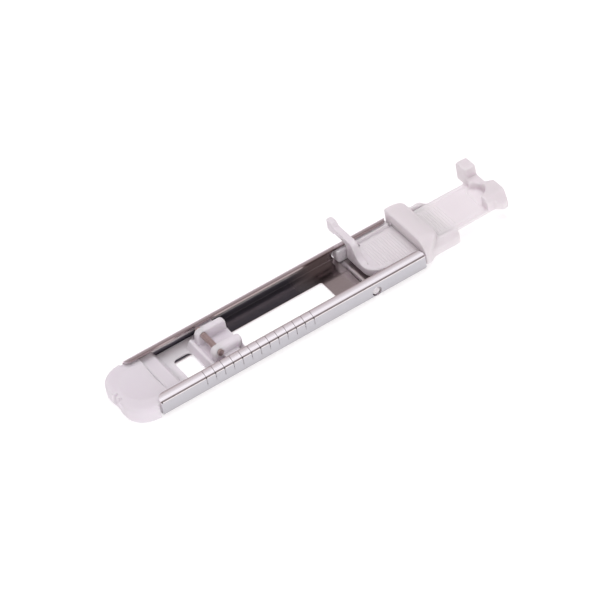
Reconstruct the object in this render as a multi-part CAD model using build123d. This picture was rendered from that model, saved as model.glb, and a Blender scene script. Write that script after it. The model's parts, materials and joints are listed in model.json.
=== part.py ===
from build123d import *
from math import acos, cos, degrees, radians, sin
import os

# Sliding buttonhole foot for a sewing machine, millimetres.
# It is modelled with X from the toe to the rear, Y across and Z up. X = 0 is the
# front end of the steel channel, Y = 0 its centre plane and Z = 0 its underside.
# Each piece is moved at the end so that the origin is the middle of the bottom
# face of the whole foot's box.

os.makedirs("parts", exist_ok=True)

# Steel channel
STEEL = 0.6
CHANNEL_LENGTH = 94.4
CHANNEL_HALF = 11.6
FLOOR_BEND = 0.8
LIP_BEND = 0.8
WALL_FLAT_TOP = 4.8
LIP_RADIUS = 6.0
LIP_TURN = 62.0
LIP_EDGE_Y = 8.8
LIP_END_RADIUS = 2.2
WALL_END_RADIUS = 1.1
WINDOW_FRONT = 12.0
WINDOW_REAR = 66.4
WINDOW_HALF = 4.45
WINDOW_CORNER = 0.8
LOCK_HOLE_X = 76.3
LOCK_HOLE_Z = 2.0
LOCK_HOLE_RADIUS = 1.65

# Scale of eighths of an inch on the near rail
MARK_COUNT = 13
MARK_PITCH = 3.175
MARK_FIRST_X = 15.8
MARK_WIDTH = 0.26
MARK_DEPTH = 0.12
MARK_LONG_Z = 2.7
MARK_SHORT_Z = 3.6

# Toe piece
TOE_FRONT = -9.1
TOE_HALF = 12.0
TOE_CORNER_X = 8.1
TOE_CORNER_Y = 7.1
TOE_TOP = 4.8
TOE_REAR = 4.8
TOE_STEP_X = -0.8
NUB_SET_BACK = 0.35
TOE_GROOVE_RADIUS = 0.75
TOE_GROOVE_Y = 1.15
TOE_RIM_RADIUS = 1.2
TOE_KEEL_RADIUS = 0.4
TOE_INNER_HALF = 10.75
DISH_RADIUS = 24.0
DISH_DEPTH = 1.25
DISH_X = 1.2
PEG_RADIUS = 0.95
PEG_X = 2.4
PEG_Y = 6.0

# Inner foot
FOOT_FRONT = 4.95
FOOT_REAR = 32.5
FOOT_HALF = 10.75
FOOT_BOTTOM = 0.7
SOLE_TOP = 1.5
FRONT_BAR_TOP = 3.6
FRONT_BAR_REAR = 9.6
NEEDLE_FRONT = 13.4
NEEDLE_REAR = 19.5
NEEDLE_HALF = 5.25
NEEDLE_CORNER = 1.4
SADDLE_FRONT = 19.5
SADDLE_HALF = 7.0
SADDLE_RIM_X = 21.0
SADDLE_RIM_Z = 4.0
EAR_INNER = 3.5
EAR_OUTER = 6.3
EAR_FRONT = 22.0
EAR_TOP = 7.8
EAR_REAR = 32.3
EAR_ROUND = 2.0
EAR_REAR_ROUND = 1.2
EAR_OUTER_ROUND = 1.3
EAR_INNER_ROUND = 0.5
VALLEY_Z = 3.9
PIT_Z = 3.3
PIN_X = 24.25
PIN_Z = 6.3
PIN_RADIUS = 1.0
PIN_HALF_LENGTH = 6.8
SHOE_FRONT = 25.0
SHOE_REAR = 30.3
SHOE_TOP = 5.0

# Lever stop tray
TRAY_FRONT = 77.8
ARM_REAR = 80.1
TRAY_REAR = 107.5
TRAY_HALF = 7.0
TRAY_WIDE_HALF = 8.2
TRAY_WIDE_FROM = 83.0
TRAY_CORNER = 5.5
TRAY_OUTER = 10.9
TRAY_BOTTOM = 1.6
TRAY_TOP = 3.8
RAIL_FRONT = 75.0
RAIL_TOP = 5.1
RAIL_REAR = 94.4
ARM_LOW = 7.7
ARM_HIGH = 9.9
ARM_ROOT_Y = 6.7
ARM_NEAR_Y = -1.4
RIM_TOP = 4.5
RIM_WIDTH = 1.8
RIM_REAR = 86.0
KNOB_INNER = 13.6
KNOB_OUTER = 17.1
KNOB_LOW = 7.1
KNOB_HIGH = 11.2
RIB_PITCH = 0.9
RIB_WIDTH = 0.38
RIB_DEPTH = 0.22
TRAY_RIB_FIRST = 82.6
TRAY_RIB_COUNT = 13
TRAY_RIB_HALF = 6.6
LOCK_PEG_RADIUS = 1.3
LOCK_PEG_SHIFT = 0.2

# Bridge over the button guide
BRIDGE_FRONT = 94.8
BRIDGE_REAR = 102.6
BRIDGE_NEAR = -11.6
BRIDGE_FAR = 10.8
BRIDGE_TAPER_X = 96.2
BRIDGE_TAPER_Y = -4.0
BRIDGE_BOTTOM = 1.0
BRIDGE_TOP = 9.45
COLLAR_REAR = 108.4
COLLAR_HALF = 10.7
COLLAR_BOTTOM = 1.6
COLLAR_TOP = 6.1
COLLAR_SLOPE = 1.6
WING_TAPER_X = 106.6
WING_REAR = 109.8
WING_TIP_TOP = 4.0
TUNNEL_HALF = 8.1
TUNNEL_TOP = 5.6

# Button guide plate
GUIDE_FRONT = 95.2
GUIDE_HALF = 7.95
GUIDE_BOTTOM = 3.95
GUIDE_TOP = 5.05
GUIDE_RIB_FIRST = 100.3
GUIDE_RIB_COUNT = 12
GROOVE_Y = 6.5
TAB_FRONT = 120.6
TAB_REAR = 128.3
TAB_TOP = 9.0
TAB_WING = 10.2
HOLLOW_RADIUS = 4.7
HOLLOW_Y = 0.3
POCKET_FRONT = 120.2
POCKET_REAR = 123.3
POCKET_SIDES = (-4.1, 4.9)
POCKET_DEPTH = 0.5
STOP_FRONT = 122.6
STOP_REAR = 126.7
STOP_INNER = 6.3
STOP_OUTER = 12.4
STOP_TOP = 11.1

# Detent spring under the bridge
SPRING_THICK = 0.3
SPRING_HALF = 2.5
SPRING_FRONT = 96.1
SPRING_BEND = 98.4
SPRING_REAR = 101.2
SPRING_ROOF = TUNNEL_TOP + 1.3

# Length of a cutting tool that passes right through the foot
TOOL_REACH = 20.0

# Middle of the whole foot's box, used as the origin
ORIGIN_X = (TOE_FRONT + TAB_REAR) / 2
ORIGIN_Y = (KNOB_OUTER - TOE_HALF) / 2


def box(x0, x1, y0, y1, z0, z1):
    """A block between two corners."""
    size = (x1 - x0, y1 - y0, z1 - z0)
    middle = ((x0 + x1) / 2, (y0 + y1) / 2, (z0 + z1) / 2)
    return Pos(*middle) * Box(*size)


def along_y(points, y0, y1):
    """A prism with an outline in X and Z, from y0 to y1."""
    face = Plane.XZ * make_face(Polyline(*points, close=True))
    return Pos(0, y1, 0) * extrude(face, y1 - y0, dir=(0, -1, 0))


def along_x(points, x0, x1):
    """A prism with an outline in Y and Z, from x0 to x1."""
    face = Plane.YZ * make_face(Polyline(*points, close=True))
    return Pos(x0, 0, 0) * extrude(face, x1 - x0, dir=(1, 0, 0))


def along_z(points, z0, z1):
    """A prism with an outline in X and Y, from z0 to z1."""
    face = make_face(Polyline(*points, close=True))
    return Pos(0, 0, z0) * extrude(face, z1 - z0, dir=(0, 0, 1))


def edges_along(part, axis, low, high):
    """Straight edges along an axis whose middles lie between two corners."""
    found = ShapeList()
    for edge in part.edges().filter_by(axis):
        spot = edge @ 0.5
        inside_x = low[0] <= spot.X <= high[0]
        inside_y = low[1] <= spot.Y <= high[1]
        inside_z = low[2] <= spot.Z <= high[2]
        if inside_x and inside_y and inside_z:
            found.append(edge)
    return found


# ---- steel channel ----

TURN = radians(LIP_TURN)
LIP_CENTRE_Y = CHANNEL_HALF - LIP_BEND - (LIP_RADIUS - LIP_BEND) * cos(TURN)
LIP_CENTRE_Z = WALL_FLAT_TOP - (LIP_RADIUS - LIP_BEND) * sin(TURN)
LIP_END = acos((LIP_EDGE_Y - LIP_CENTRE_Y) / LIP_RADIUS)
LIP_TOP = LIP_CENTRE_Z + LIP_RADIUS * sin(LIP_END)


def side_edges(inset, floor_from):
    """Floor, wall and lip of one side, a distance inside the outer face."""
    lip_sweep = LIP_TURN - degrees(LIP_END)
    wall_y = CHANNEL_HALF - inset
    bend_y = CHANNEL_HALF - FLOOR_BEND
    edges = [Line((floor_from, inset), (bend_y, inset))]
    edges.append(CenterArc((bend_y, FLOOR_BEND), FLOOR_BEND - inset, -90, 90))
    edges.append(Line((wall_y, FLOOR_BEND), (wall_y, WALL_FLAT_TOP)))
    corner = (CHANNEL_HALF - LIP_BEND, WALL_FLAT_TOP)
    edges.append(CenterArc(corner, LIP_BEND - inset, 0, LIP_TURN))
    lip = (LIP_CENTRE_Y, LIP_CENTRE_Z)
    edges.append(CenterArc(lip, LIP_RADIUS - inset, LIP_TURN, -lip_sweep))
    return edges


def side_band(depth, floor_from, x0, x1):
    """One side of the channel from its outer face down to a depth."""
    outer = side_edges(0, floor_from)
    inner = side_edges(depth, floor_from)
    caps = [Line(outer[0] @ 0, inner[0] @ 0), Line(outer[-1] @ 1, inner[-1] @ 1)]
    face = Plane.YZ * make_face(outer + inner + caps)
    return Pos(x0, 0, 0) * extrude(face, x1 - x0, dir=(1, 0, 0))


def corner_cutter(x, inward_x, y, inward_y, radius):
    """What rounding a corner of the lip's plan takes away."""
    centre = (x + inward_x * radius, y + inward_y * radius)
    ends = sorted((x - inward_x, centre[0]))
    sides = sorted((y - inward_y, centre[1]))
    block = box(*ends, *sides, WALL_FLAT_TOP, LIP_TOP + 1)
    return block - Pos(*centre, WALL_FLAT_TOP) * Cylinder(radius, TOOL_REACH)


def wall_end_cutter(x, inward, z, inward_z, radius):
    """What rounding a corner of the walls' side view takes away."""
    centre = (x + inward * radius, z + inward_z * radius)
    ends = sorted((x - inward, centre[0]))
    levels = sorted((z - inward_z, centre[1]))
    block = box(*ends, -TOOL_REACH, TOOL_REACH, *levels)
    return block - Pos(centre[0], 0, centre[1]) * Rot(90, 0, 0) * Cylinder(radius, 2 * TOOL_REACH)


def scale_mark(index):
    """One engraved line across the near lip and down the near wall."""
    middle = MARK_FIRST_X + index * MARK_PITCH
    band = side_band(MARK_DEPTH, 0, middle - MARK_WIDTH / 2, middle + MARK_WIDTH / 2)
    low = MARK_LONG_Z if index % 2 == 0 else MARK_SHORT_Z
    return mirror(band & box(middle - 1, middle + 1, 0, TOOL_REACH, low, LIP_TOP + 1), Plane.XZ)


def frame_channel():
    side = side_band(STEEL, 0, 0, CHANNEL_LENGTH)
    body = side + mirror(side, Plane.XZ)
    window = box(WINDOW_FRONT, WINDOW_REAR, -WINDOW_HALF, WINDOW_HALF, -1, 2)
    body -= fillet(window.edges().filter_by(Axis.Z), WINDOW_CORNER)
    for x, inward in ((0, 1), (CHANNEL_LENGTH, -1)):
        for hand in (1, -1):
            body -= corner_cutter(x, inward, hand * LIP_EDGE_Y, hand, LIP_END_RADIUS)
    body -= wall_end_cutter(CHANNEL_LENGTH, -1, 0, 1, WALL_END_RADIUS)
    lock_hole = Pos(LOCK_HOLE_X, 0, LOCK_HOLE_Z) * Rot(90, 0, 0) * Cylinder(LOCK_HOLE_RADIUS, 2 * TOOL_REACH)
    body -= lock_hole
    for hand in (1, -1):
        body -= Pos(PEG_X, hand * PEG_Y, 0) * Cylinder(PEG_RADIUS, 4)
    for index in range(MARK_COUNT):
        body -= scale_mark(index)
    return body


# ---- toe piece ----

def toe_piece():
    """Rounded nose with a shallow dish, and a shelf that lies in the channel's front end."""
    corner_x = TOE_FRONT + TOE_CORNER_X
    corner_y = TOE_HALF - TOE_CORNER_Y
    outline = [
        Line((TOE_STEP_X, -TOE_HALF), (TOE_STEP_X, TOE_HALF)),
        Line((TOE_STEP_X, TOE_HALF), (corner_x, TOE_HALF)),
        EllipticalCenterArc((corner_x, corner_y), TOE_CORNER_X, TOE_CORNER_Y, 90, arc_size=90),
        Line((TOE_FRONT, corner_y), (TOE_FRONT, -corner_y)),
        EllipticalCenterArc((corner_x, -corner_y), TOE_CORNER_X, TOE_CORNER_Y, 180, arc_size=90),
        Line((corner_x, -TOE_HALF), (TOE_STEP_X, -TOE_HALF)),
    ]
    nose = extrude(make_face(outline), TOE_TOP, dir=(0, 0, 1))
    rim = nose.faces().sort_by(Axis.Z)[-1].edges().filter_by(lambda edge: (edge @ 0.5).X < TOE_STEP_X - 0.05)
    nose = fillet(rim, TOE_RIM_RADIUS)
    keel = nose.faces().sort_by(Axis.Z)[0].edges().filter_by(lambda edge: (edge @ 0.5).X < TOE_STEP_X - 0.05)
    nose = fillet(keel, TOE_KEEL_RADIUS)
    body = nose + box(TOE_STEP_X - 1, TOE_REAR, -TOE_INNER_HALF, TOE_INNER_HALF, STEEL, TOE_TOP)
    body -= Pos(DISH_X, 0, TOE_TOP + DISH_RADIUS - DISH_DEPTH) * Sphere(DISH_RADIUS)
    for hand in (1, -1):
        groove = Pos(TOE_FRONT + 0.1, hand * TOE_GROOVE_Y, TOE_TOP / 2) * Rot(0, 14, 0)
        body -= groove * Cylinder(TOE_GROOVE_RADIUS, 2 * TOE_TOP)
        body += Pos(PEG_X, hand * PEG_Y, STEEL / 2 + 0.1) * Cylinder(PEG_RADIUS, STEEL + 0.2)
    nub_front = TOE_FRONT + NUB_SET_BACK
    return body - box(TOE_FRONT - 1, nub_front, -TOE_GROOVE_Y, TOE_GROOVE_Y, -1, TOE_TOP + 1)


# ---- inner foot ----

def top_edges(part, axis, y=None):
    """Top edges of an ear along an axis, all of them or those at one y."""
    found = ShapeList()
    for edge in part.edges().filter_by(axis):
        spot = edge @ 0.5
        at_top = spot.Z > EAR_TOP - 0.05
        at_y = y is None or abs(spot.Y - y) < 0.05
        if at_top and at_y:
            found.append(edge)
    return found


def saddle():
    """Block with two ears, a valley between them and a pit under the pin."""
    base = along_y(
        [
            (SADDLE_FRONT, FOOT_BOTTOM),
            (FOOT_REAR, FOOT_BOTTOM),
            (FOOT_REAR, VALLEY_Z),
            (PIN_X + 1.6, VALLEY_Z),
            (PIN_X - 0.2, PIT_Z),
            (SADDLE_RIM_X + 1.0, PIT_Z),
            (SADDLE_RIM_X + 0.4, SADDLE_RIM_Z),
            (SADDLE_RIM_X - 0.4, SADDLE_RIM_Z),
            (SADDLE_FRONT, SOLE_TOP + 0.3),
        ],
        -SADDLE_HALF,
        SADDLE_HALF,
    )
    body = base
    for hand in (1, -1):
        ends = sorted((hand * EAR_INNER, hand * EAR_OUTER))
        ear = box(EAR_FRONT, EAR_REAR, *ends, FOOT_BOTTOM, EAR_TOP)
        ear = fillet(top_edges(ear, Axis.Y).sort_by(Axis.X)[0], EAR_ROUND)
        ear = fillet(top_edges(ear, Axis.Y).sort_by(Axis.X)[-1], EAR_REAR_ROUND)
        ear = fillet(top_edges(ear, Axis.X, hand * EAR_OUTER), EAR_OUTER_ROUND)
        ear = fillet(top_edges(ear, Axis.X, hand * EAR_INNER), EAR_INNER_ROUND)
        body += ear
    return body


def inner_foot():
    sole = box(FOOT_FRONT, FOOT_REAR, -FOOT_HALF, FOOT_HALF, FOOT_BOTTOM, SOLE_TOP)
    bar = along_y(
        [
            (FOOT_FRONT, FOOT_BOTTOM),
            (FRONT_BAR_REAR + 1.2, FOOT_BOTTOM),
            (FRONT_BAR_REAR + 1.2, SOLE_TOP),
            (FRONT_BAR_REAR - 0.3, FRONT_BAR_TOP),
            (FOOT_FRONT, FRONT_BAR_TOP),
        ],
        -FOOT_HALF,
        FOOT_HALF,
    )
    bar_top = bar.edges().filter_by(Axis.Y).sort_by(Axis.Z)[-2:]
    bar = fillet(bar_top, 0.6)
    body = sole + bar + saddle()
    for hand in (1, -1):
        ends = sorted((hand * (EAR_OUTER - 0.5), hand * FOOT_HALF))
        shoe = box(SHOE_FRONT, SHOE_REAR, *ends, FOOT_BOTTOM, SHOE_TOP)
        ridge = shoe.edges().filter_by(Axis.X).sort_by(Axis.Z)[-2:]
        body += fillet(ridge.sort_by(lambda edge: abs((edge @ 0.5).Y))[-1], 0.8)
    window = box(NEEDLE_FRONT, NEEDLE_REAR, -NEEDLE_HALF, NEEDLE_HALF, 0, SHOE_TOP)
    body -= fillet(window.edges().filter_by(Axis.Z), NEEDLE_CORNER)
    body -= Pos(PIN_X, 0, PIN_Z) * Rot(90, 0, 0) * Cylinder(PIN_RADIUS, TOOL_REACH)
    return body


def shank_pin():
    pin = Pos(PIN_X, 0, PIN_Z) * Rot(90, 0, 0) * Cylinder(PIN_RADIUS, 2 * PIN_HALF_LENGTH)
    return chamfer(pin.edges().filter_by(GeomType.CIRCLE), 0.15)


# ---- lever stop tray ----

def rib_grooves(first, count, y, top):
    """Cross grooves that leave a row of ribs."""
    cuts = []
    for index in range(count):
        middle = first + index * RIB_PITCH
        half = RIB_WIDTH / 2
        cuts.append(box(middle - half, middle + half, -y, y, top - RIB_DEPTH, top + 1))
    return cuts


def stop_arm():
    """Upright front wall that turns outwards over the far rail."""
    outline = [
        Line((ARM_NEAR_Y, TRAY_BOTTOM), (ARM_ROOT_Y, TRAY_BOTTOM)),
        Line((ARM_ROOT_Y, TRAY_BOTTOM), (ARM_ROOT_Y, ARM_LOW)),
        Line((ARM_ROOT_Y, ARM_LOW), (KNOB_INNER - 0.6, ARM_LOW)),
        Line((KNOB_INNER - 0.6, ARM_LOW), (KNOB_INNER, KNOB_LOW)),
        Line((KNOB_INNER, KNOB_LOW), (KNOB_OUTER, KNOB_LOW)),
        Line((KNOB_OUTER, KNOB_LOW), (KNOB_OUTER, KNOB_HIGH)),
        Line((KNOB_OUTER, KNOB_HIGH), (KNOB_INNER + 0.6, KNOB_HIGH)),
        Line((KNOB_INNER + 0.6, KNOB_HIGH), (KNOB_INNER - 0.6, ARM_HIGH)),
        Line((KNOB_INNER - 0.6, ARM_HIGH), (4.4, ARM_HIGH)),
        Bezier((4.4, ARM_HIGH), (1.8, ARM_HIGH), (2.4, RIM_TOP + 0.2), (ARM_NEAR_Y, RIM_TOP)),
        Line((ARM_NEAR_Y, RIM_TOP), (ARM_NEAR_Y, TRAY_BOTTOM)),
    ]
    face = Plane.YZ * make_face(outline)
    arm = Pos(TRAY_FRONT, 0, 0) * extrude(face, ARM_REAR - TRAY_FRONT, dir=(1, 0, 0))
    root = (TRAY_FRONT, ARM_ROOT_Y - 0.1, ARM_LOW - 0.1)
    arm = fillet(edges_along(arm, Axis.X, root, (ARM_REAR, ARM_ROOT_Y + 0.1, ARM_LOW + 0.1)), 1.2)
    tip = arm.edges().filter_by(Axis.Z).sort_by(Axis.Y)[-2:]
    return fillet(tip, 0.7)


def rounded_deck(inset, top):
    """Tray's middle with its near front corner rounded, a distance inside the edge."""
    deck = box(TRAY_FRONT + inset, TRAY_REAR, -TRAY_HALF + inset, TRAY_HALF, TRAY_BOTTOM, top)
    corner = deck.edges().filter_by(Axis.Z).sort_by(lambda edge: (edge @ 0.5).X + (edge @ 0.5).Y)[0]
    return fillet(corner, TRAY_CORNER - inset)


def front_rim():
    """Low rim that runs from the foot of the arm round the near front corner."""
    ring = rounded_deck(0, RIM_TOP) - rounded_deck(RIM_WIDTH, RIM_TOP + 1)
    return ring & box(TRAY_FRONT - 1, RIM_REAR, -TRAY_HALF - 1, ARM_NEAR_Y, 0, TOOL_REACH)


def lever_stop_tray():
    body = rounded_deck(0, TRAY_TOP)
    body += box(TRAY_WIDE_FROM, TRAY_REAR, -TRAY_WIDE_HALF, TRAY_WIDE_HALF, TRAY_BOTTOM, TRAY_TOP)
    for cut in rib_grooves(TRAY_RIB_FIRST, TRAY_RIB_COUNT, TRAY_RIB_HALF, TRAY_TOP):
        body -= cut
    body += front_rim() + stop_arm()
    for hand in (1, -1):
        inner = hand * (TRAY_WIDE_HALF - 0.2)
        outer = hand * TRAY_OUTER
        rail = box(RAIL_FRONT, RAIL_REAR, *sorted((inner, outer)), STEEL, RAIL_TOP)
        rail = fillet(edges_along(rail, Axis.X, (70, outer - 0.1, 0), (95, outer + 0.1, 6)), 0.5)
        rail = fillet(edges_along(rail, Axis.Z, (74, -11, 0), (76, 11, 6)), 0.8)
        peg = Pos(LOCK_HOLE_X - LOCK_PEG_SHIFT, outer, LOCK_HOLE_Z + LOCK_PEG_SHIFT) * Rot(90, 0, 0)
        body += rail + peg * Cylinder(LOCK_PEG_RADIUS, 1.0)
    return body


# ---- bridge ----

def bridge_hump():
    """High cross piece, the common part of its side, end and plan views."""
    shoulder = BRIDGE_TOP - 0.8
    side_view = [
        Line((BRIDGE_FRONT, BRIDGE_BOTTOM), (BRIDGE_FRONT, shoulder)),
        Bezier(
            (BRIDGE_FRONT, shoulder),
            (BRIDGE_FRONT, BRIDGE_TOP),
            (BRIDGE_FRONT + 1.0, BRIDGE_TOP),
            (BRIDGE_FRONT + 3.2, BRIDGE_TOP - 0.2),
        ),
        Bezier(
            (BRIDGE_FRONT + 3.2, BRIDGE_TOP - 0.2),
            (BRIDGE_FRONT + 6.4, BRIDGE_TOP - 0.8),
            (BRIDGE_REAR, BRIDGE_TOP - 2.4),
            (BRIDGE_REAR, COLLAR_TOP),
        ),
        Line((BRIDGE_REAR, COLLAR_TOP), (BRIDGE_REAR, BRIDGE_BOTTOM)),
        Line((BRIDGE_REAR, BRIDGE_BOTTOM), (BRIDGE_FRONT, BRIDGE_BOTTOM)),
    ]
    hump = Plane.XZ * make_face(side_view)
    hump = Pos(0, TOOL_REACH, 0) * extrude(hump, 2 * TOOL_REACH, dir=(0, -1, 0))
    high = BRIDGE_TOP + 0.2
    near_wall_top = BRIDGE_BOTTOM + 3.2
    end_view = [
        Line((BRIDGE_NEAR, BRIDGE_BOTTOM), (BRIDGE_NEAR, near_wall_top)),
        Bezier((BRIDGE_NEAR, near_wall_top), (BRIDGE_NEAR, 8.2), (-8.5, high), (-4.0, high)),
        Line((-4.0, high), (BRIDGE_FAR - 1.2, high)),
        Bezier((BRIDGE_FAR - 1.2, high), (BRIDGE_FAR, high), (BRIDGE_FAR, high - 0.8), (BRIDGE_FAR, high - 1.6)),
        Line((BRIDGE_FAR, high - 1.6), (BRIDGE_FAR, BRIDGE_BOTTOM)),
        Line((BRIDGE_FAR, BRIDGE_BOTTOM), (BRIDGE_NEAR, BRIDGE_BOTTOM)),
    ]
    end_mask = Plane.YZ * make_face(end_view)
    end_mask = Pos(BRIDGE_FRONT, 0, 0) * extrude(end_mask, TOOL_REACH, dir=(1, 0, 0))
    plan = [
        Line((BRIDGE_FRONT, BRIDGE_NEAR), (BRIDGE_TAPER_X, BRIDGE_NEAR)),
        Bezier(
            (BRIDGE_TAPER_X, BRIDGE_NEAR),
            (BRIDGE_TAPER_X + 2.0, BRIDGE_NEAR + 1.0),
            (BRIDGE_REAR, BRIDGE_TAPER_Y - 4.5),
            (BRIDGE_REAR, BRIDGE_TAPER_Y),
        ),
        Line((BRIDGE_REAR, BRIDGE_TAPER_Y), (BRIDGE_REAR, BRIDGE_FAR)),
        Line((BRIDGE_REAR, BRIDGE_FAR), (BRIDGE_FRONT, BRIDGE_FAR)),
        Line((BRIDGE_FRONT, BRIDGE_FAR), (BRIDGE_FRONT, BRIDGE_NEAR)),
    ]
    plan_mask = extrude(make_face(plan), TOOL_REACH, dir=(0, 0, 1))
    return hump & end_mask & plan_mask


def bridge_collar():
    """Low sleeve behind the hump with a wing along each side of the guide plate."""
    shoulder_y = TUNNEL_HALF + 0.7
    end_view = [
        (-COLLAR_HALF, COLLAR_BOTTOM),
        (-COLLAR_HALF, COLLAR_TOP - COLLAR_SLOPE),
        (-shoulder_y, COLLAR_TOP),
        (shoulder_y, COLLAR_TOP),
        (COLLAR_HALF, COLLAR_TOP - COLLAR_SLOPE),
        (COLLAR_HALF, COLLAR_BOTTOM),
    ]
    collar = along_x(end_view, BRIDGE_TAPER_X - 0.6, WING_REAR)
    collar -= along_z(
        [
            (WING_TAPER_X, COLLAR_HALF + 1),
            (WING_TAPER_X, COLLAR_HALF),
            (WING_REAR, TUNNEL_HALF + 0.2),
            (WING_REAR + 1, TUNNEL_HALF + 0.2),
            (WING_REAR + 1, COLLAR_HALF + 1),
        ],
        0,
        TOOL_REACH,
    )
    collar -= along_y(
        [
            (WING_TAPER_X - 0.8, COLLAR_TOP),
            (WING_TAPER_X + 1.6, WING_TIP_TOP + 0.5),
            (WING_REAR + 1, WING_TIP_TOP),
            (WING_REAR + 1, TOOL_REACH),
            (WING_TAPER_X - 0.8, TOOL_REACH),
        ],
        0,
        TOOL_REACH,
    )
    collar -= box(COLLAR_REAR, WING_REAR + 1, -COLLAR_HALF - 1, 0, 0, TOOL_REACH)
    near_tail = edges_along(collar, Axis.Z, (COLLAR_REAR - 0.1, -11, 0), (COLLAR_REAR + 0.1, -10, 6))
    collar = chamfer(near_tail, 0.8)
    return collar - box(BRIDGE_REAR, WING_REAR + 1, -TUNNEL_HALF, TUNNEL_HALF, 0, TOOL_REACH)


def guide_bridge():
    body = bridge_hump() + bridge_collar()
    tunnel_ends = (BRIDGE_FRONT - 1, WING_REAR + 1)
    body -= box(*tunnel_ends, -TUNNEL_HALF, TUNNEL_HALF, TRAY_TOP, TUNNEL_TOP)
    body -= box(*tunnel_ends, -TRAY_WIDE_HALF, TRAY_WIDE_HALF, TRAY_BOTTOM, TRAY_TOP)
    side = SPRING_HALF + 0.2
    return body - box(SPRING_FRONT - 0.1, SPRING_REAR + 0.2, -side, side, TUNNEL_TOP - 0.1, SPRING_ROOF)


# ---- button guide plate ----

def thumb_tab():
    """Raised rear wall with a rounded front hollow and a tongue to the rear."""
    plan = [
        (TAB_FRONT, -GUIDE_HALF),
        (TAB_FRONT + 2.6, -GUIDE_HALF),
        (TAB_FRONT + 4.6, -TAB_WING),
        (TAB_FRONT + 6.6, -TAB_WING + 0.8),
        (TAB_REAR, -5.6),
        (TAB_REAR, -0.6),
        (STOP_REAR, 2.0),
        (STOP_REAR, STOP_INNER + 1),
        (STOP_FRONT, GUIDE_HALF),
        (STOP_FRONT, 5.0),
        (TAB_FRONT, 3.8),
    ]
    end_view = [
        (-TAB_WING - 0.8, GUIDE_BOTTOM - 2),
        (-TAB_WING - 0.8, TAB_TOP - 3.2),
        (-6.4, TAB_TOP),
        (-0.8, TAB_TOP),
        (1.6, TAB_TOP - 1.5),
        (9.0, TAB_TOP - 1.5),
        (9.0, GUIDE_BOTTOM - 2),
    ]
    tab = along_z(plan, GUIDE_BOTTOM, TAB_TOP) & along_x(end_view, TAB_FRONT - 1, TAB_REAR + 1)
    hollow = Pos(TAB_FRONT - 0.6, HOLLOW_Y, GUIDE_TOP + TOOL_REACH / 2) * Cylinder(HOLLOW_RADIUS, TOOL_REACH)
    return tab - hollow


def button_guide_plate():
    plate = box(GUIDE_FRONT, TAB_FRONT + 3, -GUIDE_HALF, GUIDE_HALF, GUIDE_BOTTOM, GUIDE_TOP)
    for cut in rib_grooves(GUIDE_RIB_FIRST, GUIDE_RIB_COUNT, GROOVE_Y - 0.9, GUIDE_TOP):
        plate -= cut
    groove_length = TAB_FRONT - GUIDE_FRONT
    for hand in (1, -1):
        groove = Pos(GUIDE_FRONT + groove_length / 2 + 5, hand * GROOVE_Y, GUIDE_TOP + 0.35)
        plate -= groove * Rot(0, 90, 0) * Cylinder(0.6, groove_length)
    pocket = box(POCKET_FRONT, POCKET_REAR, *POCKET_SIDES, GUIDE_TOP - POCKET_DEPTH, GUIDE_TOP + 1)
    plate -= fillet(pocket.edges().filter_by(Axis.Z), 1.2)
    plate += Pos(POCKET_REAR - 0.6, HOLLOW_Y, GUIDE_TOP - POCKET_DEPTH / 2) * Cylinder(1.1, POCKET_DEPTH)
    stop = box(STOP_FRONT, STOP_REAR, STOP_INNER, STOP_OUTER, GUIDE_BOTTOM + 0.3, STOP_TOP)
    top_outer = edges_along(stop, Axis.X, (120, STOP_OUTER - 0.1, 10), (130, STOP_OUTER + 0.1, 12))
    stop = chamfer(top_outer, 1.2)
    stop = fillet(stop.edges().filter_by(Axis.Z).sort_by(Axis.X)[:2], 1.2)
    return plate + thumb_tab() + stop


# ---- detent spring ----

def detent_spring():
    """Leaf spring that presses on the ribs of the guide plate."""
    seat = TUNNEL_TOP + 0.85
    low = GUIDE_TOP + 0.12
    flat = box(SPRING_FRONT, SPRING_BEND, -SPRING_HALF, SPRING_HALF, seat, seat + SPRING_THICK)
    leg = along_y(
        [
            (SPRING_BEND, seat + SPRING_THICK),
            (SPRING_BEND, seat),
            (SPRING_REAR - 0.7, low),
            (SPRING_REAR, low + 0.3),
            (SPRING_REAR, low + 0.3 + SPRING_THICK),
            (SPRING_REAR - 0.7, low + SPRING_THICK),
        ],
        -SPRING_HALF,
        SPRING_HALF,
    )
    return flat + leg


PIECES = {
    "frame_channel": frame_channel,
    "toe_piece": toe_piece,
    "inner_foot": inner_foot,
    "shank_pin": shank_pin,
    "lever_stop_tray": lever_stop_tray,
    "guide_bridge": guide_bridge,
    "button_guide_plate": button_guide_plate,
    "detent_spring": detent_spring,
}

for name, make in PIECES.items():
    piece = Pos(-ORIGIN_X, -ORIGIN_Y, 0) * make()
    export_step(piece, f"parts/{name}.step")
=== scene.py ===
"""Looks of the sliding buttonhole foot: soft moulded plastic, plated sheet steel, studio light, camera.

The steel pieces stay as they are and get their materials here. Each moulded piece is rebuilt as a mesh
with soft edges that stands for its CAD node.
"""

import json
import math

import bpy
from mathutils import Matrix, Vector


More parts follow.
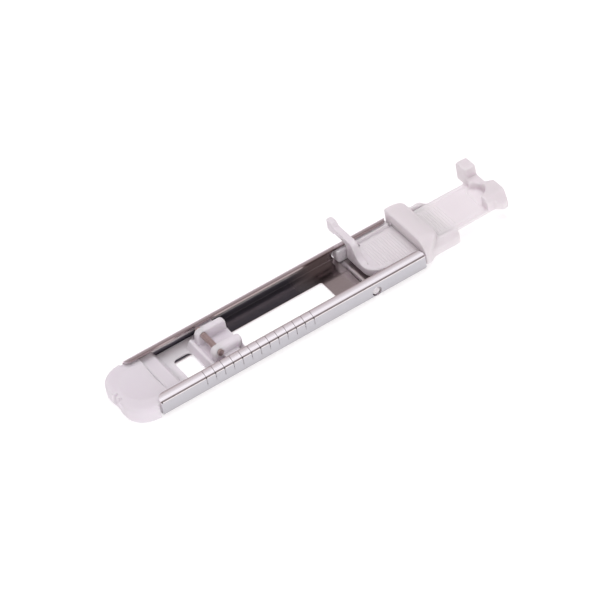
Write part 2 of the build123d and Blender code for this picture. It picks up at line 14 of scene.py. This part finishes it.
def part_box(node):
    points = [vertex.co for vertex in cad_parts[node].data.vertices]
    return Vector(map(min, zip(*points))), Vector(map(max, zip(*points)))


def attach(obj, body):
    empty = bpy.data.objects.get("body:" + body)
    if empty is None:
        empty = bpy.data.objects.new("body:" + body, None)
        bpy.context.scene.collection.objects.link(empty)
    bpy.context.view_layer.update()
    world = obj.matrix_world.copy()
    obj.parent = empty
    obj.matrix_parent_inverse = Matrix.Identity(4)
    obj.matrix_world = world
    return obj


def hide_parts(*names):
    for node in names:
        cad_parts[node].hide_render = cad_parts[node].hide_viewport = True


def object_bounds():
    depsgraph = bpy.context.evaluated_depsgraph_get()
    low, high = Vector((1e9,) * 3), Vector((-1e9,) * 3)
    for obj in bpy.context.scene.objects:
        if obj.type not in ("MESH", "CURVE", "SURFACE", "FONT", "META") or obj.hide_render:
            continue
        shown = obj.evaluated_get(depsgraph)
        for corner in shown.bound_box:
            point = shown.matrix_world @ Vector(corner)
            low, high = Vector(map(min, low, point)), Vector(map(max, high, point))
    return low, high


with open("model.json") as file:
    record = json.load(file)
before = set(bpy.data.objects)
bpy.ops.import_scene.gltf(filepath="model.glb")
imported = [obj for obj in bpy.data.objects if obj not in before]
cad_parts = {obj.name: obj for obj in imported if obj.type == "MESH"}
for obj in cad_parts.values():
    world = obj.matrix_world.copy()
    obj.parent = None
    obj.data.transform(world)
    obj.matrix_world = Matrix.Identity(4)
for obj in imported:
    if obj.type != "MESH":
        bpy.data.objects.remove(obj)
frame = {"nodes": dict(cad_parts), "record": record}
CAD_LOW, CAD_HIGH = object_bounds()

MM = 0.001
BODY_OF = {node: body for body, nodes in frame["record"]["behaviour"]["bodies"].items() for node in nodes}
CHANNEL_LOW, CHANNEL_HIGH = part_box("frame_channel")

# Engraved scale on the near rail, in metres from the channel's front end
MARK_COUNT = 13
MARK_FIRST = 15.8 * MM
MARK_PITCH = 3.175 * MM
CORNER_Z = 5.0 * MM
# Distance from the channel's front end of a black dot painted as the shadow in the bend relief
END_SHADOW_DOT = 0.4 * MM
LIP_EDGE = 8.8 * MM

# Painted reflection across a lip, from its edge over the channel to the wall: a dark line at the edge, a
# bright highlight band and a darker corner, as light falls on a rounded lip
LIP_PAINTED_HIGHLIGHTS = [
    (0.00, (0.40, 0.33, 0.33)),
    (0.14, (0.58, 0.51, 0.52)),
    (0.40, (0.70, 0.65, 0.67)),
    (0.66, (0.98, 0.95, 0.98)),
    (0.86, (0.92, 0.89, 0.92)),
    (1.00, (0.62, 0.58, 0.60)),
]

# Shades inside the trough, from the floor to under the lip: dark, a thin bright line, brown-grey
# The real trough reflects a room that isn't known, so its shades are painted in.
DARK_RUN = 58 * MM
TROUGH_HEIGHT = 6 * MM
STEEL_INNER = 0.55 * MM
LIP_UNDERSIDE = 5.3 * MM
LIP_LOWEST = 5.35 * MM
WALL_LOW = 0.3 * MM
WALL_HIGH = 4.7 * MM
# Share of the deep trough's steel made diffuse, so that the lamps light its painted shade and reflection
TROUGH_PAINT_DIFFUSE = 0.32
TROUGH_SHADES = [
    (0.12, (0.13, 0.12, 0.14)),
    (0.36, (0.16, 0.15, 0.18)),
    (0.46, (0.30, 0.28, 0.31)),
    (0.50, (1.0, 1.0, 1.0)),
    (0.55, (1.0, 0.93, 0.91)),
    (0.90, (0.95, 0.86, 0.84)),
]


# ---- node helpers ----

def new_material(name):
    """A node material with its node tree and its Principled shader."""
    material = bpy.data.materials.new(name)
    material.use_nodes = True
    tree = material.node_tree
    shader = next(node for node in tree.nodes if node.type == "BSDF_PRINCIPLED")
    return material, tree, shader


def math_node(tree, operation, first, second=None):
    """A Math node whose inputs are sockets or numbers; returns its output."""
    node = tree.nodes.new("ShaderNodeMath")
    node.operation = operation
    for socket, value in zip(node.inputs, (first, second)):
        if value is None:
            continue
        if isinstance(value, (int, float)):
            socket.default_value = value
        else:
            tree.links.new(value, socket)
    return node.outputs[0]


def object_axes(tree):
    """Object coordinates and their X, Y and Z, in metres."""
    place = tree.nodes.new("ShaderNodeTexCoord").outputs["Object"]
    split = tree.nodes.new("ShaderNodeSeparateXYZ")
    tree.links.new(place, split.inputs[0])
    return place, split.outputs[0], split.outputs[1], split.outputs[2]


def noise(tree, place, scale, detail=2.0, stretch=(1, 1, 1)):
    """Noise of a given number of features per metre, stretched along the axes."""
    mapping = tree.nodes.new("ShaderNodeMapping")
    mapping.inputs["Scale"].default_value = stretch
    tree.links.new(place, mapping.inputs["Vector"])
    node = tree.nodes.new("ShaderNodeTexNoise")
    node.inputs["Scale"].default_value = scale
    node.inputs["Detail"].default_value = detail
    tree.links.new(mapping.outputs[0], node.inputs["Vector"])
    return node.outputs["Fac"]


def ramp(tree, factor, stops):
    """A colour ramp through (place, colour) stops."""
    node = tree.nodes.new("ShaderNodeValToRGB")
    points = node.color_ramp.elements
    while len(points) < len(stops):
        points.new(0.5)
    for point, (position, colour) in zip(points, stops):
        point.position = position
        point.color = (*colour, 1)
    tree.links.new(factor, node.inputs[0])
    return node.outputs[0]


def mix(tree, factor, first, second):
    """Colour mix of two colours or sockets by a socket."""
    node = tree.nodes.new("ShaderNodeMix")
    node.data_type = "RGBA"
    tree.links.new(factor, node.inputs["Factor"])
    for name, value in (("A", first), ("B", second)):
        socket = next(item for item in node.inputs if item.name == name and item.type == "RGBA")
        if isinstance(value, tuple):
            socket.default_value = (*value, 1)
        else:
            tree.links.new(value, socket)
    return next(item for item in node.outputs if item.type == "RGBA")


def band(tree, value, low, high, soft):
    """1 between two values, falling to 0 over a soft distance outside them."""
    rise = tree.nodes.new("ShaderNodeMapRange")
    rise.inputs["From Min"].default_value = low - soft
    rise.inputs["From Max"].default_value = low
    fall = tree.nodes.new("ShaderNodeMapRange")
    fall.inputs["From Min"].default_value = high + soft
    fall.inputs["From Max"].default_value = high
    for node in (rise, fall):
        tree.links.new(value, node.inputs["Value"])
    return math_node(tree, "MULTIPLY", rise.outputs[0], fall.outputs[0])


def add_bump(tree, shader, height, strength, distance):
    node = tree.nodes.new("ShaderNodeBump")
    node.inputs["Strength"].default_value = strength
    node.inputs["Distance"].default_value = distance
    tree.links.new(height, node.inputs["Height"])
    tree.links.new(node.outputs[0], shader.inputs["Normal"])


# ---- materials ----

def plastic_material(name, cool, warm, warm_from):
    """Slightly translucent white moulding, lilac in front and pinker to the rear."""
    material, tree, shader = new_material(name)
    place, x, y, z = object_axes(tree)
    along = tree.nodes.new("ShaderNodeMapRange")
    along.inputs["From Min"].default_value = warm_from
    along.inputs["From Max"].default_value = warm_from + 30 * MM
    tree.links.new(x, along.inputs["Value"])
    cloud = noise(tree, place, 140, 3)
    drift = math_node(tree, "MULTIPLY", math_node(tree, "SUBTRACT", cloud, 0.5), 0.35)
    tint = math_node(tree, "ADD", along.outputs[0], drift)
    tree.links.new(mix(tree, tint, cool, warm), shader.inputs["Base Color"])
    shader.inputs["Subsurface Weight"].default_value = 0.8
    shader.inputs["Subsurface Radius"].default_value = (1.0, 0.94, 1.0)
    shader.inputs["Subsurface Scale"].default_value = 2.4 * MM
    shader.inputs["Specular IOR Level"].default_value = 0.42
    grain = noise(tree, place, 5200, 3)
    rough = ramp(tree, grain, [(0.3, (0.36, 0.36, 0.36)), (0.7, (0.46, 0.46, 0.46))])
    tree.links.new(rough, shader.inputs["Roughness"])
    add_bump(tree, shader, grain, 0.16, 0.02 * MM)
    return material


def corner_dot(tree, along, z):
    """Mask of a round spot of painted shade on the wall's top corner, from the distance along it."""
    drop = math_node(tree, "SUBTRACT", z, CORNER_Z)
    squares = math_node(tree, "ADD", math_node(tree, "POWER", along, 2), math_node(tree, "POWER", drop, 2))
    return band(tree, math_node(tree, "SQRT", squares), -1 * MM, 0.16 * MM, 0.08 * MM)


def scale_marks(tree, x, y, z):
    """Masks of the engraved lines, of the black dots painted as the shade of small pits where they cross
    the corner, and of a dot painted as the shadow in the bend relief at the channel's front end.
    """
    first = CHANNEL_LOW.x + MARK_FIRST
    step = math_node(tree, "DIVIDE", math_node(tree, "SUBTRACT", x, first), MARK_PITCH)
    nearest = math_node(tree, "ROUND", step)
    away = math_node(tree, "ABSOLUTE", math_node(tree, "SUBTRACT", step, nearest))
    away = math_node(tree, "MULTIPLY", away, MARK_PITCH)
    within = band(tree, step, -0.3, MARK_COUNT - 0.7, 0.01)
    near_side = math_node(tree, "LESS_THAN", y, CHANNEL_LOW.y + 3.2 * MM)
    on_scale = math_node(tree, "MULTIPLY", within, near_side)
    line = band(tree, away, -1 * MM, 0.06 * MM, 0.06 * MM)
    high = band(tree, z, 2.7 * MM, 9 * MM, 0.3 * MM)
    line = math_node(tree, "MULTIPLY", math_node(tree, "MULTIPLY", line, high), on_scale)
    dot = math_node(tree, "MULTIPLY", corner_dot(tree, away, z), on_scale)
    end = math_node(tree, "SUBTRACT", x, CHANNEL_LOW.x + END_SHADOW_DOT)
    end_shade = math_node(tree, "MULTIPLY", corner_dot(tree, end, z), near_side)
    return line, math_node(tree, "MAXIMUM", dot, end_shade)


def plated_steel():
    """Bright plated sheet: lips and trough with painted reflection and shade, satin walls with specks."""
    material, tree, shader = new_material("plated_steel")
    place, x, y, z = object_axes(tree)
    shader.inputs["Metallic"].default_value = 1.0
    centre_y = (CHANNEL_LOW.y + CHANNEL_HIGH.y) / 2
    sideways = math_node(tree, "ABSOLUTE", math_node(tree, "SUBTRACT", y, centre_y))
    half = (CHANNEL_HIGH.y - CHANNEL_LOW.y) / 2
    wall = band(tree, sideways, half - 0.1 * MM, half + MM, 0.05 * MM)
    wall = math_node(tree, "MULTIPLY", wall, band(tree, z, WALL_LOW, WALL_HIGH, 0.15 * MM))
    cloud = noise(tree, place, 420, 4, (0.5, 1, 1))
    specks = noise(tree, place, 2600, 2)
    speck = ramp(tree, specks, [(0.27, (1, 1, 1)), (0.33, (0, 0, 0))])
    inside_y = band(tree, sideways, -MM, half - STEEL_INNER, 0.05 * MM)
    inside_z = band(tree, z, STEEL_INNER, LIP_UNDERSIDE, 0.1 * MM)
    inside = math_node(tree, "MULTIPLY", inside_y, inside_z)
    before_tray = band(tree, x, CHANNEL_LOW.x - MM, CHANNEL_LOW.x + DARK_RUN, 9 * MM)
    deep = math_node(tree, "MULTIPLY", before_tray, band(tree, sideways, 4.8 * MM, half, 0.1 * MM))
    wavy_z = math_node(tree, "ADD", z, math_node(tree, "MULTIPLY", cloud, 0.5 * MM))
    trough = ramp(tree, math_node(tree, "DIVIDE", wavy_z, TROUGH_HEIGHT), TROUGH_SHADES)
    bright = ramp(tree, cloud, [(0.3, (0.70, 0.66, 0.67)), (0.7, (0.80, 0.77, 0.78))])
    # Painted shade: inside the trough the steel is darker, and its deep front part takes the painted trough
    # reflection and shade
    floor_shade = mix(tree, deep, (0.50, 0.45, 0.45), trough)
    colour = mix(tree, inside, bright, floor_shade)
    across = math_node(tree, "DIVIDE", math_node(tree, "SUBTRACT", sideways, LIP_EDGE), half - LIP_EDGE)
    lip = band(tree, z, LIP_LOWEST, 9 * MM, 0.05 * MM)
    # The lips' tops get the painted highlight and reflection
    colour = mix(tree, lip, colour, ramp(tree, across, LIP_PAINTED_HIGHLIGHTS))
    metal = math_node(tree, "MULTIPLY", math_node(tree, "MULTIPLY", inside, deep), TROUGH_PAINT_DIFFUSE)
    tree.links.new(math_node(tree, "SUBTRACT", 1.0, metal), shader.inputs["Metallic"])
    colour = mix(tree, wall, colour, (0.54, 0.53, 0.56))
    pitted = math_node(tree, "MULTIPLY", math_node(tree, "MULTIPLY", speck, wall), 0.45)
    colour = mix(tree, pitted, colour, (0.25, 0.22, 0.26))
    line, dot = scale_marks(tree, x, y, z)
    colour = mix(tree, math_node(tree, "MULTIPLY", line, 0.6), colour, (0.10, 0.08, 0.08))
    # Black dots painted as the shade of the unmodelled pits and of the bend relief
    colour = mix(tree, dot, colour, (0.006, 0.005, 0.006))
    tree.links.new(colour, shader.inputs["Base Color"])
    rough = mix(tree, wall, (0.16, 0.16, 0.16), (0.34, 0.34, 0.34))
    rough = mix(tree, dot, rough, (0.8, 0.8, 0.8))
    tree.links.new(rough, shader.inputs["Roughness"])
    add_bump(tree, shader, cloud, 0.05, 0.02 * MM)
    return material


def turned_steel(name, colour, roughness):
    """Small drawn or turned steel piece with fine lines round its length."""
    material, tree, shader = new_material(name)
    place, x, y, z = object_axes(tree)
    shader.inputs["Metallic"].default_value = 1.0
    lines = noise(tree, place, 900, 4, (1, 8, 1))
    dark = tuple(channel * 0.78 for channel in colour)
    tree.links.new(ramp(tree, lines, [(0.35, dark), (0.65, colour)]), shader.inputs["Base Color"])
    shader.inputs["Roughness"].default_value = roughness
    add_bump(tree, shader, lines, 0.2, 0.01 * MM)
    return material


def dress(node, material):
    """Gives a CAD node its material."""
    mesh = frame["nodes"][node].data
    mesh.materials.clear()
    mesh.materials.append(material)


# ---- moulded pieces ----

MOULDED = {
    # node: (voxel in mm, smoothing steps, extra steps behind the soft line, share of faces kept)
    "toe_piece": (0.16, 12, 0, 0.5),
    "inner_foot": (0.14, 22, 0, 0.5),
    "lever_stop_tray": (0.17, 7, 0, 1.0),
    "guide_bridge": (0.15, 42, 0, 0.5),
    "button_guide_plate": (0.15, 8, 40, 1.0),
}
SOFT_FROM = 57.5
SOFT_BLEND = 3.0


def evaluated_mesh(piece):
    """The piece's mesh with its modifiers applied."""
    bpy.context.view_layer.update()
    evaluated = piece.evaluated_get(bpy.context.evaluated_depsgraph_get())
    return bpy.data.meshes.new_from_object(evaluated)


def soften_rear(piece, steps):
    """More smoothing of the thick rear end only, so that the ribs in front of it stay."""
    group = piece.vertex_groups.new(name="rear")
    for vertex in piece.data.vertices:
        weight = min(1.0, max(0.0, (vertex.co.x - SOFT_FROM) / SOFT_BLEND))
        group.add([vertex.index], weight, "REPLACE")
    smooth = piece.modifiers.new("soften_rear", "SMOOTH")
    smooth.factor = 0.5
    smooth.iterations = steps
    smooth.vertex_group = group.name


def moulded_piece(node, voxel, steps, rear_steps, kept_faces, material):
    """A copy of a CAD node with every edge softened, as a moulding has."""
    source = frame["nodes"][node]
    mesh = source.data.copy()
    mesh.transform(Matrix.Scale(1 / MM, 4))
    piece = bpy.data.objects.new(node + "_moulding", mesh)
    bpy.context.scene.collection.objects.link(piece)
    remesh = piece.modifiers.new("skin", "REMESH")
    remesh.mode = "VOXEL"
    remesh.voxel_size = voxel
    smooth = piece.modifiers.new("soften", "SMOOTH")
    smooth.factor = 0.5
    smooth.iterations = steps
    if rear_steps:
        piece.data = evaluated_mesh(piece)
        piece.modifiers.clear()
        soften_rear(piece, rear_steps)
    thin = piece.modifiers.new("thin", "DECIMATE")
    thin.ratio = kept_faces
    soft = evaluated_mesh(piece)
    soft.transform(Matrix.Scale(MM, 4))
    piece.modifiers.clear()
    piece.data = soft
    soft.materials.clear()
    soft.materials.append(material)
    for polygon in soft.polygons:
        polygon.use_smooth = True
    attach(piece, BODY_OF[node])
    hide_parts(node)
    return piece


COOL_WHITE = (0.780, 0.745, 0.785)
WARM_WHITE = (0.785, 0.745, 0.765)
white_plastic = plastic_material("white_plastic", COOL_WHITE, WARM_WHITE, 5 * MM)
for node_name, skin in MOULDED.items():
    moulded_piece(node_name, *skin, white_plastic)

dress("frame_channel", plated_steel())
dress("shank_pin", turned_steel("pin_steel", (0.66, 0.53, 0.51), 0.28))
dress("detent_spring", turned_steel("spring_steel", (0.55, 0.55, 0.56), 0.3))


# ---- floor, light and camera ----

def studio_floor():
    half = 1.2
    mesh = bpy.data.meshes.new("floor")
    corners = [(-half, -half, 0), (half, -half, 0), (half, half, 0), (-half, half, 0)]
    mesh.from_pydata(corners, [], [(0, 1, 2, 3)])
    floor = bpy.data.objects.new("floor", mesh)
    floor.location.z = CAD_LOW.z - 0.02 * MM
    bpy.context.scene.collection.objects.link(floor)
    material, tree, shader = new_material("pale_floor")
    shader.inputs["Base Color"].default_value = (0.76, 0.76, 0.76, 1)
    shader.inputs["Roughness"].default_value = 0.9
    shader.inputs["Emission Color"].default_value = (1, 1, 1, 1)
    shader.inputs["Emission Strength"].default_value = 0.48
    mesh.materials.append(material)


def room_light():
    """The room: dark brown towards the camera, brown low on the far side, white overhead."""
    world = bpy.data.worlds.new("room")
    bpy.context.scene.world = world
    world.use_nodes = True
    tree = world.node_tree
    background = next(node for node in tree.nodes if node.type == "BACKGROUND")
    direction = tree.nodes.new("ShaderNodeTexCoord").outputs["Generated"]
    split = tree.nodes.new("ShaderNodeSeparateXYZ")
    tree.links.new(direction, split.inputs[0])
    height = split.outputs[2]
    far_side = [
        (0.0, (0.56, 0.50, 0.51)),
        (0.55, (0.44, 0.38, 0.39)),
        (0.74, (0.50, 0.44, 0.45)),
        (0.86, (0.95, 0.93, 0.96)),
        (1.0, (1.0, 0.98, 1.01)),
    ]
    near_side = [
        (0.0, (0.24, 0.20, 0.20)),
        (0.80, (0.28, 0.24, 0.24)),
        (0.94, (0.95, 0.92, 0.95)),
        (1.0, (1.0, 0.98, 1.01)),
    ]
    far_colour = ramp(tree, height, far_side)
    near_colour = ramp(tree, height, near_side)
    side = tree.nodes.new("ShaderNodeMapRange")
    side.inputs["From Min"].default_value = -0.15
    side.inputs["From Max"].default_value = 0.15
    tree.links.new(split.outputs[1], side.inputs["Value"])
    tree.links.new(mix(tree, side.outputs[0], near_colour, far_colour), background.inputs["Color"])
    background.inputs["Strength"].default_value = 1.0


LAMP_COLOUR = (0.985, 0.99, 1.01)


def soft_light(name, place, size, power):
    """A square softbox that faces the middle of the foot and doesn't show in the steel."""
    lamp = bpy.data.lights.new(name, "AREA")
    lamp.size = size
    lamp.energy = power
    lamp.color = LAMP_COLOUR
    light = bpy.data.objects.new(name, lamp)
    light.location = place
    light.rotation_mode = "QUATERNION"
    light.visible_glossy = False
    light.rotation_quaternion = (-Vector(place)).to_track_quat("-Z", "Y")
    bpy.context.scene.collection.objects.link(light)


CAMERA_AZIMUTH = -25.47
CAMERA_ELEVATION = 42.44
CAMERA_ROLL = -11.2
CAMERA_DISTANCE = 0.900
CAMERA_LENS = 185.3
AIM_FROM_CENTRE = Vector((-9.1, -12.0, 9.3)) * MM


def camera():
    """Long lens above the near side, rolled so that the foot rises to the right."""
    data = bpy.data.cameras.new("camera")
    data.sensor_width = 36
    data.lens = CAMERA_LENS
    data.clip_start = 0.05
    data.clip_end = 20
    eye = bpy.data.objects.new("camera", data)
    azimuth = math.radians(CAMERA_AZIMUTH)
    elevation = math.radians(CAMERA_ELEVATION)
    level = math.cos(elevation)
    back = Vector((math.sin(azimuth) * level, -math.cos(azimuth) * level, math.sin(elevation)))
    aim = (CAD_LOW + CAD_HIGH) / 2 + AIM_FROM_CENTRE
    turn = (-back).to_track_quat("-Z", "Y").to_matrix() @ Matrix.Rotation(math.radians(CAMERA_ROLL), 3, "Z")
    eye.matrix_world = Matrix.Translation(aim + back * CAMERA_DISTANCE) @ turn.to_4x4()
    bpy.context.scene.collection.objects.link(eye)
    bpy.context.scene.camera = eye


studio_floor()
room_light()
soft_light("overhead", (0.10, 0.15, 0.75), 0.5, 2.1)
soft_light("front_fill", (-0.20, -0.75, 0.33), 0.6, 2.5)
camera()
bpy.context.scene.view_settings.view_transform = "Standard"
